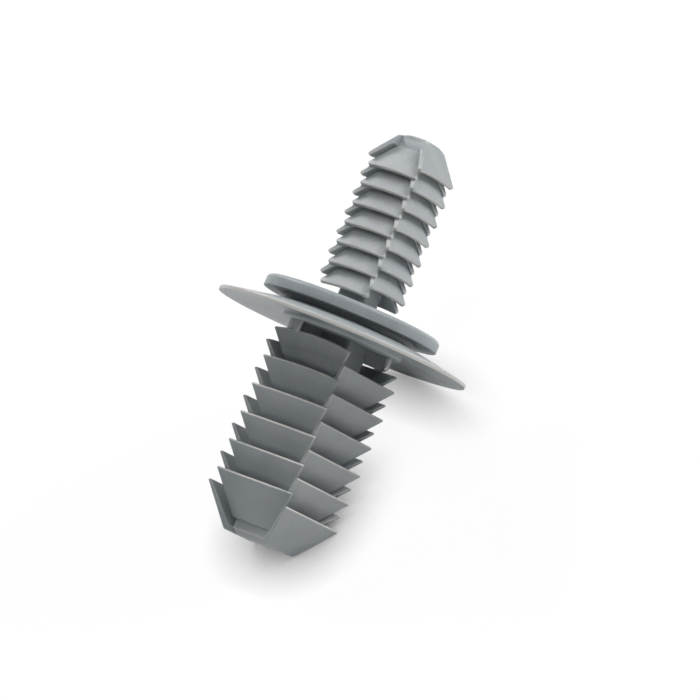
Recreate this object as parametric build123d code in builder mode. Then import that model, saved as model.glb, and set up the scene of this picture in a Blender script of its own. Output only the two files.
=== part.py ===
from build123d import *

import os
from dataclasses import dataclass
from math import atan2, cos, isclose, sin

# Push rivet with a fir tree at each end, moulded in one piece.
#
# The rivet is drawn upright first: its axis is Z, height 0 is the lower edge of
# the sealing flange's rim, the small tree points up and the large tree down.
# X is the outward side of the front and back fin columns, Y of the side columns.
# It is then laid down as it comes to rest, on the flange's rim and the corners of
# the large tree's last side fins. All sizes are millimetres.

# Sealing flange: thin at its rim, dished towards the large tree
FLANGE_RADIUS = 10.0
RIM_THICKNESS = 0.3
FLANGE_TOP = 1.25  # height of its upper face at the waist
FLANGE_HOLLOW = 0.5  # height of its hollow lower face at the ring

# Ring under the flange
RING_RADIUS = 4.8
RING_FACE = 0.0  # height of its lower face
RING_EDGE = 0.15

# Waist and the disc above it
WAIST_RADIUS = 5.2
DISC_RADIUS = 7.0
DISC_GAP = 0.37  # between the flange and the disc, at the waist
DISC_THICKNESS = 0.95
DISC_EDGE = 0.22  # around its upper face
COLLAR_RADIUS = 3.2
COLLAR_HEIGHT = 0.2

# Wings under the ring: a flat web with a curved wall at each end
WING_RADIUS = 4.15
WING_HEIGHT = 1.0
WING_WALL = 0.22
WING_SPAN = 3.7
WING_WEB = 0.8
WING_EDGE = 0.2
WING_ANGLE = 135  # the web runs between two corners of the core

EMBED = 0.6  # how far a tree or a wing reaches into what carries it
ROOT_OVERLAP = 0.1  # how far a fin's root reaches into the core


@dataclass
class Column:
    """Two opposite columns of fins on a tree."""

    angle: float  # about the tree's axis
    first_edge: float  # height of the lowest free edge above the tree's foot
    reach: float  # from the axis to a fin's free edge
    half_width: float  # of the free edge
    root_reach: float
    root_half_width: float
    fin_length: float  # along the axis


@dataclass
class Tree:
    """A core of rectangular section with four columns of sloping fins."""

    core_depth: float
    core_width: float
    core_edge: float
    tip_chamfer: float
    tip_rise: float  # of the core's end above the highest roots
    tip_dome: float  # radius of the rounded end, 0 where it is flat
    pitch: float
    rows: int
    fin_thickness: float  # at the free edge
    root_height: float  # of the joint between a fin and the core
    fin_corner: float  # radius of the free edge's two corners, 0 where they are sharp
    bows: tuple  # of the lowest free edges, front and back, outwards or, below 0, inwards
    bow_fade: float  # share of that bow left on each next row
    columns: tuple

    def edge_height(self, column, row):
        """Height of a row's free edges above the tree's foot."""
        return column.first_edge + row * self.pitch

    @property
    def tip(self):
        """Height of the tree's end."""
        last_row = self.rows - 1
        last_roots = [
            self.edge_height(column, last_row) + column.fin_length for column in self.columns
        ]
        return max(last_roots) + self.tip_rise


LARGE = Tree(
    core_depth=2.8,
    core_width=3.6,
    core_edge=0.25,
    tip_chamfer=0.4,
    tip_rise=0.0,
    tip_dome=0.0,
    pitch=2.27,
    rows=6,
    fin_thickness=0.24,
    root_height=0.5,
    fin_corner=0.0,
    bows=(0.38, 0.0),
    bow_fade=0.45,
    columns=(
        Column(0, 1.1, 3.57, 3.66, 1.73, 1.87, 3.0),
        Column(90, 2.2, 3.87, 3.7, 2.1, 1.92, 3.0),
    ),
)

SMALL = Tree(
    core_depth=2.1,
    core_width=2.6,
    core_edge=0.25,
    tip_chamfer=0.2,
    tip_rise=0.25,
    tip_dome=4.5,
    pitch=1.594,
    rows=7,
    fin_thickness=0.3,
    root_height=0.95,
    fin_corner=0.2,
    bows=(-0.2, -0.2),
    bow_fade=1.0,
    columns=(
        Column(0, 0.86, 2.43, 2.45, 1.12, 1.21, 2.2),
        Column(90, 1.57, 2.64, 2.58, 1.27, 1.3, 2.4),
    ),
)

DISC_BOTTOM = FLANGE_TOP + DISC_GAP
DISC_TOP = DISC_BOTTOM + DISC_THICKNESS


def fin(tree, column, bow):
    """One fin on the +X side, with its free edge at height 0 and its root above."""
    slope = atan2(column.reach - column.root_reach, column.fin_length)
    length = column.fin_length / cos(slope)
    narrowing = (column.half_width - column.root_half_width) / length
    core_face = (tree.core_depth if column.angle == 0 else tree.core_width) / 2
    inside = min(core_face, column.root_reach) - ROOT_OVERLAP

    def on_plate(along, depth):
        """A point of the side view, along the outer face and below it."""
        return (
            column.reach - along * sin(slope) - depth * cos(slope),
            along * cos(slope) - depth * sin(slope),
        )

    with BuildPart() as plate:
        with BuildSketch(Plane.XZ):
            with BuildLine():
                Polyline(
                    on_plate(-abs(bow) - EMBED, 0),
                    (column.root_reach, column.fin_length),
                    (inside, column.fin_length),
                    (inside, column.fin_length - tree.root_height),
                    (core_face, column.fin_length - tree.root_height),
                    on_plate(0, tree.fin_thickness),
                    on_plate(-abs(bow) - EMBED, tree.fin_thickness),
                    close=True,
                )
            make_face()
        extrude(amount=column.half_width, both=True)
        outer_face = Plane(
            origin=(column.reach, 0, 0),
            x_dir=(0, 1, 0),
            z_dir=(cos(slope), 0, sin(slope)),
        )
        past_root = length + 2 * EMBED
        end_half_width = column.half_width - narrowing * past_root
        with BuildSketch(outer_face):
            with BuildLine():
                corners = (-column.half_width, 0), (column.half_width, 0)
                free_edge = ThreePointArc(corners[0], (0, -bow), corners[1]) if bow else Line(*corners)
                Polyline(
                    free_edge @ 1,
                    (end_half_width, past_root),
                    (-end_half_width, past_root),
                    free_edge @ 0,
                )
            make_face()
            if tree.fin_corner:
                fillet(vertices().group_by(Axis.Y)[0], tree.fin_corner)
        extrude(amount=column.reach, both=True, mode=Mode.INTERSECT)
    return plate.part


def fir_tree(tree):
    """A tree that points up from its foot at height 0."""
    with BuildPart() as fir:
        with BuildSketch(Plane.XY.offset(-EMBED)):
            Rectangle(tree.core_depth, tree.core_width)
        extrude(amount=tree.tip + EMBED)
        end_face = fir.faces().sort_by(Axis.Z)[-1]
        chamfer(end_face.edges(), tree.tip_chamfer)
        fillet(fir.edges().filter_by(Axis.Z), tree.core_edge)
        for column in tree.columns:
            for row in range(tree.rows):
                for turn, bow in zip((0, 180), tree.bows):
                    plate = fin(tree, column, bow * tree.bow_fade**row)
                    height = tree.edge_height(column, row)
                    add(plate.moved(Location((0, 0, height), (0, 0, column.angle + turn))))
        if tree.tip_dome:
            with BuildSketch(Plane.XZ):
                with BuildLine():
                    dome = CenterArc((0, tree.tip - tree.tip_dome), tree.tip_dome, 0, 90)
                    Polyline(dome @ 1, (0, -EMBED), (tree.tip_dome, -EMBED), dome @ 0)
                make_face()
            revolve(axis=Axis.Z, mode=Mode.INTERSECT)
    return fir.part


with BuildPart() as flanges:
    with BuildSketch(Plane.XZ):
        with BuildLine():
            Polyline(
                (0, RING_FACE),
                (RING_RADIUS, RING_FACE),
                (RING_RADIUS, FLANGE_HOLLOW),
                (FLANGE_RADIUS, 0),
                (FLANGE_RADIUS, RIM_THICKNESS),
                (WAIST_RADIUS, FLANGE_TOP),
                (WAIST_RADIUS, DISC_BOTTOM),
                (DISC_RADIUS, DISC_BOTTOM),
                (DISC_RADIUS, DISC_TOP),
                (COLLAR_RADIUS, DISC_TOP),
                (COLLAR_RADIUS, DISC_TOP + COLLAR_HEIGHT),
                (0, DISC_TOP + COLLAR_HEIGHT),
                close=True,
            )
        make_face()
    revolve(axis=Axis.Z)
    walls = flanges.faces().filter_by(GeomType.CYLINDER)
    disc_rim = walls.filter_by(lambda wall: isclose(wall.radius, DISC_RADIUS))[0]
    ring_rim = walls.filter_by(lambda wall: isclose(wall.radius, RING_RADIUS))[0]
    chamfer(disc_rim.edges().sort_by(Axis.Z)[-1], DISC_EDGE)
    chamfer(ring_rim.edges().sort_by(Axis.Z)[0], RING_EDGE)

with BuildPart() as wings:
    with BuildSketch(Plane.XY.offset(RING_FACE + EMBED / 2)):
        Circle(WING_RADIUS)
        Circle(WING_RADIUS - WING_WALL, mode=Mode.SUBTRACT)
        Rectangle(2 * WING_RADIUS, WING_SPAN, mode=Mode.INTERSECT)
        Rectangle(2 * WING_RADIUS - WING_WALL, WING_WEB)
    extrude(amount=-WING_HEIGHT - EMBED / 2)
    lower_edges = wings.edges().group_by(Axis.Z)[0].filter_by(GeomType.CIRCLE)
    outer_edges = [edge for edge in lower_edges if edge.radius > WING_RADIUS - WING_WALL / 2]
    chamfer(outer_edges, WING_EDGE)

with BuildPart() as upright:
    add(flanges.part)
    add(wings.part, rotation=(0, 0, WING_ANGLE))
    add(fir_tree(LARGE).moved(Location((0, 0, RING_FACE), (180, 0, 0))))
    add(fir_tree(SMALL).moved(Location((0, 0, DISC_TOP))))


def lean(point):
    """Tilt of the axis when the rim and this point both touch the ground.

    The point is given by its distance from the axis and its height.
    """
    out, height = point
    return atan2(FLANGE_RADIUS - out, -height)


def resting_points():
    """The corners of the large tree that may touch the ground under its -X side."""
    for column in LARGE.columns:
        out = column.reach if column.angle == 0 else column.half_width
        for row in range(LARGE.rows):
            yield out, RING_FACE - LARGE.edge_height(column, row)
        yield column.root_half_width, RING_FACE - LARGE.tip


tilt = min(lean(point) for point in resting_points())
ground_place = Location(Plane(
    origin=(0, 0, FLANGE_RADIUS * cos(tilt)),
    x_dir=(-sin(tilt), 0, cos(tilt)),
    z_dir=(cos(tilt), 0, sin(tilt)),
))

laid_down = upright.part.moved(ground_place)
middle = laid_down.bounding_box().center()

with BuildPart() as rivet:
    add(laid_down.moved(Location((-middle.X, -middle.Y, 0))))

rivet.part.label = "rivet"
os.makedirs("parts", exist_ok=True)
export_step(rivet.part, "parts/rivet.step")
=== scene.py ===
from functools import partial
from math import cos, pi, radians, sin

import bmesh
import bpy
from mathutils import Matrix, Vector
from mathutils.bvhtree import BVHTree


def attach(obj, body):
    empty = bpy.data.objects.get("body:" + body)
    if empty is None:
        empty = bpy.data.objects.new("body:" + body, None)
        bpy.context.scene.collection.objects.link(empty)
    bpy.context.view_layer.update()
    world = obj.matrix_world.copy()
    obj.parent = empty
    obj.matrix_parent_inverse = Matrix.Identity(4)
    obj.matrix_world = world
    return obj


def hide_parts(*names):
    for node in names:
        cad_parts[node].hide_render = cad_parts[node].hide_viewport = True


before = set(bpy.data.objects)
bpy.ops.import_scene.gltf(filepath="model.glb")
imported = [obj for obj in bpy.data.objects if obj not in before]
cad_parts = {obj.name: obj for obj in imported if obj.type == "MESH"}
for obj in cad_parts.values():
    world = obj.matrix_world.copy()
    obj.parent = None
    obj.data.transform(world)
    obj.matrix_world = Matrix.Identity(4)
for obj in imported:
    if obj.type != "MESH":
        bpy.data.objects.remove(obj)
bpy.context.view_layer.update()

# A push rivet moulded in one piece of grey nylon. It lies on a white table, on the rim
# of its sealing flange and on the last fins of its large tree. Lengths are in metres.

MM = 0.001

# Moulding
MERGE_DISTANCE = 0.001 * MM
FLAT_ANGLE = radians(0.05)  # triangles that turn by less are one flat face
CORNER_ANGLE = radians(38)  # faces that meet more sharply have an edge to round
CREASE_ANGLE = radians(15)  # a rounding stops short of a crease that is sharper
EDGE_RADIUS = 0.07 * MM
EDGE_SEGMENTS = 3
CLEARANCE = 0.18 * MM  # between the end of a rounding and a crease

# Painted light on thin edges: a paler colour that stands in for their highlights and for the
# light that comes through them
EDGE_LIGHT_LAYER = "on_edge"
RIM_WIDTH = 0.2 * MM  # narrower faces between two roundings are edges too
THIN_WALL = 0.35 * MM
BACK_TO_BACK = -0.9  # product of the unit normals of a thin wall's two sides
FACE_SHARE = 0.15  # of an edge's painted light, at the rim of the faces beside it

# Nylon
NYLON_COLOUR = (0.33, 0.362, 0.376)
NYLON_CLOUD = (0.42, 0.452, 0.468)
NYLON_EDGE_LIGHT = (0.6, 0.595, 0.58)  # painted light: paler, for the highlights on the thin edges and the light that comes through them
CLOUD_SIZE = 2.5 * MM
CLOUD_DETAIL = 3.0
GRAIN_SIZE = 0.16 * MM
GRAIN_DETAIL = 2.0
GRAIN_HEIGHT = 0.006 * MM
GRAIN_SHARE = 0.5  # of the change between the two colours
NOISE_LOW = 0.3
NOISE_MIDDLE = 0.5
NOISE_HIGH = 0.7
NYLON_ROUGHNESS = 0.42
ROUGHNESS_SPREAD = 0.15
NYLON_IOR = 1.53
NYLON_GLOW = 1.0  # share of the light that goes in and scatters
GLOW_DEPTH = 0.12 * MM
GLOW_TINT = (1.0, 0.93, 0.86)  # red light goes deeper

# Camera, with its sensor and lens in millimetres
CAMERA_PLACE = Vector((-185.29, -258.40, 325.28)) * MM
CAMERA_TURN = (radians(42.173), radians(17.584), radians(-54.180))
SENSOR_WIDTH = 36.0
FOCAL_LENGTH = 306.5
NEAR_LIMIT = 0.01
FAR_LIMIT = 10.0

# Table and light
TABLE_SIZE = 4.0
TABLE_COLOUR = (0.93, 0.93, 0.93)
TABLE_SHADE = 0.1  # share of the table's own shading that the camera sees
TABLE_GLOW = 1.03  # where nothing is near; 1 is white
CONTACT_REACH = 4.0 * MM  # how far the painted contact shadow round the rivet's contacts goes
CONTACT_SAMPLES = 8
ROOM_COLOUR = (0.94, 0.975, 1.0)
ROOM_LEVEL = 0.06
LAMP_DISTANCE = 0.45
LAMP_SIZE = 0.2
# Each lamp's azimuth from +X and its elevation in degrees, and how bright it makes a
# white card that faces it.
LAMPS = {
    "lamp_behind": (66, 36, 0.54),
    "lamp_beside": (322, 26, 0.62),
    "lamp_above": (0, 90, 0.22),
    "lamp_before": (205, 38, 0.16),
}


def feed(node, inputs):
    """Sets a node's sockets, by name or number, to values or to other nodes' outputs."""
    for name, given in inputs.items():
        if isinstance(given, Socket):
            node.id_data.links.new(given.output, node.inputs[name])
        else:
            node.inputs[name].default_value = given


class Socket:
    """A node's output, whose arithmetic adds Math nodes."""

    def __init__(self, output):
        self.output = output

    @classmethod
    def of_node(cls, tree, kind, settings, inputs, output=0):
        """Adds a node, makes its settings, feeds its inputs and wraps one of its outputs."""
        node = tree.nodes.new(kind)
        for name, setting in settings.items():
            setattr(node, name, setting)
        feed(node, inputs)
        return cls(node.outputs[output])

    def math(self, operation, first, second):
        return Socket.of_node(
            self.output.id_data, "ShaderNodeMath", {"operation": operation},
            {0: first, 1: second},
        )

    def __add__(self, other):
        return self.math("ADD", self, other)

    def __mul__(self, other):
        return self.math("MULTIPLY", self, other)

    def __sub__(self, other):
        return self.math("SUBTRACT", self, other)

    def __rsub__(self, other):
        return self.math("SUBTRACT", other, self)

    __radd__ = __add__
    __rmul__ = __mul__


def is_outer(edge):
    """Whether two faces meet outwards here, sharply enough to be rounded."""
    return edge.is_convex and edge.calc_face_angle() > CORNER_ANGLE


def is_crowded(corner, outer_edges):
    """Whether a rounding that ran into this corner would meet a crease or a short edge."""
    return any(
        edge.calc_length() < CLEARANCE
        or (not edge.is_convex and edge.calc_face_angle() > CREASE_ANGLE)
        for edge in corner.link_edges
        if edge not in outer_edges
    )


def round_edges(shape):
    """Rounds the outer edges, each short of a crowded corner, and returns the new faces."""
    outer_edges = {edge for edge in shape.edges if is_outer(edge)}
    corners = {corner for edge in outer_edges for corner in edge.verts}
    crowded = {corner for corner in corners if is_crowded(corner, outer_edges)}
    rounded = []
    # The mesh's own order, unlike a set's, is the same in each run.
    for edge in [edge for edge in shape.edges if edge in outer_edges]:
        ends = [corner for corner in edge.verts if corner in crowded]
        if ends and edge.calc_length() <= (len(ends) + 1) * CLEARANCE:
            continue
        for end in ends:
            share = CLEARANCE / edge.calc_length()
            piece = bmesh.utils.edge_split(edge, end, share)[0]
            edge = piece if end in edge.verts else edge
        rounded.append(edge)
    return set(bmesh.ops.bevel(
        shape, geom=rounded, offset=EDGE_RADIUS, offset_type="OFFSET", affect="EDGES",
        segments=EDGE_SEGMENTS, profile=0.5, material=-1, clamp_overlap=False,
    )["faces"])


def is_thin(place, skin):
    """Whether two faces that are back to back both lie within THIN_WALL."""
    normals = [near[1] for near in skin.find_nearest_range(place, THIN_WALL)]
    outward = min(normals, key=normals[0].dot)
    return min(map(outward.dot, normals)) < BACK_TO_BACK


def paint_thin_edge_light(shape, strips):
    """Marks the edges of thin walls in the layer EDGE_LIGHT_LAYER, where the nylon's colour
    gets painted light.

    An edge is the strips of its rounding and any narrow face between two of them. Points
    inside it get 1, points on its outline get FACE_SHARE, and all others get 0.
    """
    strip_points = {point for strip in strips for point in strip.verts}
    rims = {
        face for face in shape.faces
        if strip_points.issuperset(face.verts)
        and 2 * face.calc_area() < RIM_WIDTH * face.calc_perimeter()
    }
    edge_faces = strips | rims
    skin = BVHTree.FromBMesh(shape)
    on_edge = shape.verts.layers.float.new(EDGE_LIGHT_LAYER)
    for point in shape.verts:
        if edge_faces.isdisjoint(point.link_faces) or not is_thin(point.co, skin):
            point[on_edge] = 0.0
        elif edge_faces.issuperset(point.link_faces):
            point[on_edge] = 1.0
        else:
            point[on_edge] = FACE_SHARE


def make_moulding():
    """The whole rivet: the CAD solid with its flat faces whole and its edges rounded."""
    shape = bmesh.new()
    shape.from_mesh(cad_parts["rivet"].data)
    bmesh.ops.remove_doubles(shape, verts=shape.verts, dist=MERGE_DISTANCE)
    bmesh.ops.dissolve_limit(
        shape, angle_limit=FLAT_ANGLE, verts=shape.verts, edges=shape.edges
    )
    strips = round_edges(shape)
    paint_thin_edge_light(shape, strips)
    bmesh.ops.dissolve_degenerate(shape, dist=MERGE_DISTANCE, edges=shape.edges)
    mesh = bpy.data.meshes.new("moulding")
    shape.to_mesh(mesh)
    shape.free()
    mesh.shade_smooth()
    mesh.set_sharp_from_angle(angle=CORNER_ANGLE)
    mesh.materials.append(nylon())
    piece = bpy.data.objects.new("moulding", mesh)
    bpy.context.scene.collection.objects.link(piece)
    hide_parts("rivet")
    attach(piece, "root")


def nylon():
    """Moulded grey nylon: faintly clouded, satin, with a fine grain and painted light on its
    thin edges.
    """
    material = bpy.data.materials.new("nylon")
    material.use_nodes = True
    tree = material.node_tree
    add = partial(Socket.of_node, tree)
    place = add("ShaderNodeTexCoord", {}, {}, "Object")

    def noise(size, detail):
        return add(
            "ShaderNodeTexNoise", {}, {"Vector": place, "Scale": 1 / size, "Detail": detail}
        )

    def stretched(mottle):
        """Noise keeps near its middle, so that is stretched to the whole of 0 to 1."""
        return (mottle - NOISE_LOW) * (1 / (NOISE_HIGH - NOISE_LOW))

    def mixed(share, first, second):
        """A mix of two colours, which are a Mix node's inputs 6 and 7 and its output 2."""
        return add("ShaderNodeMix", {"data_type": "RGBA"}, {0: share, 6: first, 7: second}, 2)

    cloud = noise(CLOUD_SIZE, CLOUD_DETAIL)
    grain = noise(GRAIN_SIZE, GRAIN_DETAIL)
    mottle = (1 - GRAIN_SHARE) * cloud + GRAIN_SHARE * grain
    body = mixed(stretched(mottle), (*NYLON_COLOUR, 1), (*NYLON_CLOUD, 1))
    on_edge = add("ShaderNodeAttribute", {"attribute_name": EDGE_LIGHT_LAYER}, {}, "Fac")
    feed(tree.nodes["Principled BSDF"], {
        # Painted light: thin edges are mixed towards a paler colour, for their highlights and
        # the light coming through them.
        "Base Color": mixed(on_edge, body, (*NYLON_EDGE_LIGHT, 1)),
        "Roughness": NYLON_ROUGHNESS + ROUGHNESS_SPREAD * (cloud - NOISE_MIDDLE),
        "Normal": add("ShaderNodeBump", {}, {"Height": grain, "Distance": GRAIN_HEIGHT}),
        "IOR": NYLON_IOR,
        "Subsurface Weight": NYLON_GLOW,
        "Subsurface Radius": GLOW_TINT,
        "Subsurface Scale": GLOW_DEPTH,
    })
    return material


def table_white():
    """White where the camera sees it, with part of its shadows and a painted shadow that
    darkens it near the rivet, and white paint elsewhere.
    """
    material = bpy.data.materials.new("table_white")
    material.use_nodes = True
    tree = material.node_tree
    tree.nodes.remove(tree.nodes["Principled BSDF"])
    add = partial(Socket.of_node, tree)
    seen = add("ShaderNodeLightPath", {}, {}, "Is Camera Ray")
    # Painted shadow: the white that the camera sees is darkened by ambient occlusion near the
    # rivet.
    painted_contact_shadow = add(
        "ShaderNodeAmbientOcclusion", {"samples": CONTACT_SAMPLES}, {"Distance": CONTACT_REACH}
    )
    feed(tree.nodes["Material Output"], {"Surface": add("ShaderNodeMixShader", {}, {
        0: seen * (1 - TABLE_SHADE),
        1: add("ShaderNodeBsdfDiffuse", {}, {"Color": (*TABLE_COLOUR, 1)}),
        2: add("ShaderNodeEmission", {}, {"Color": painted_contact_shadow, "Strength": TABLE_GLOW}),
    })})
    return material


def make_table():
    """A wide white table top at height 0."""
    shape = bmesh.new()
    bmesh.ops.create_grid(shape, x_segments=1, y_segments=1, size=TABLE_SIZE / 2)
    mesh = bpy.data.meshes.new("table")
    shape.to_mesh(mesh)
    shape.free()
    mesh.materials.append(table_white())
    table = bpy.data.objects.new("table", mesh)
    bpy.context.scene.collection.objects.link(table)


def make_lamp(name, azimuth, elevation, level):
    """A soft square lamp that faces the rivet.

    A white card at a distance d from a lamp of power p is p / (pi * d)**2 bright.
    """
    flat = LAMP_DISTANCE * cos(radians(elevation))
    lamp = bpy.data.lights.new(name, "AREA")
    lamp.size = LAMP_SIZE
    lamp.energy = level * (pi * LAMP_DISTANCE) ** 2
    holder = bpy.data.objects.new(name, lamp)
    holder.location = (
        flat * cos(radians(azimuth)),
        flat * sin(radians(azimuth)),
        LAMP_DISTANCE * sin(radians(elevation)),
    )
    holder.rotation_euler = (-holder.location).to_track_quat("-Z", "Y").to_euler()
    bpy.context.scene.collection.objects.link(holder)


def make_room():
    """A dim white room round the table."""
    room = bpy.data.worlds.new("room")
    room.use_nodes = True
    walls = room.node_tree.nodes["Background"]
    feed(walls, {"Color": (*ROOM_COLOUR, 1), "Strength": ROOM_LEVEL})
    bpy.context.scene.world = room


def make_camera():
    """A camera with a long lens, high up on the large tree's side of the rivet."""
    lens = bpy.data.cameras.new("camera")
    lens.sensor_width = SENSOR_WIDTH
    lens.lens = FOCAL_LENGTH
    lens.clip_start = NEAR_LIMIT
    lens.clip_end = FAR_LIMIT
    camera = bpy.data.objects.new("camera", lens)
    camera.location = CAMERA_PLACE
    camera.rotation_euler = CAMERA_TURN
    bpy.context.scene.collection.objects.link(camera)
    bpy.context.scene.camera = camera


make_moulding()
make_table()
make_room()
for lamp_name, lamp_facts in LAMPS.items():
    make_lamp(lamp_name, *lamp_facts)
make_camera()
bpy.context.scene.view_settings.view_transform = "Standard"
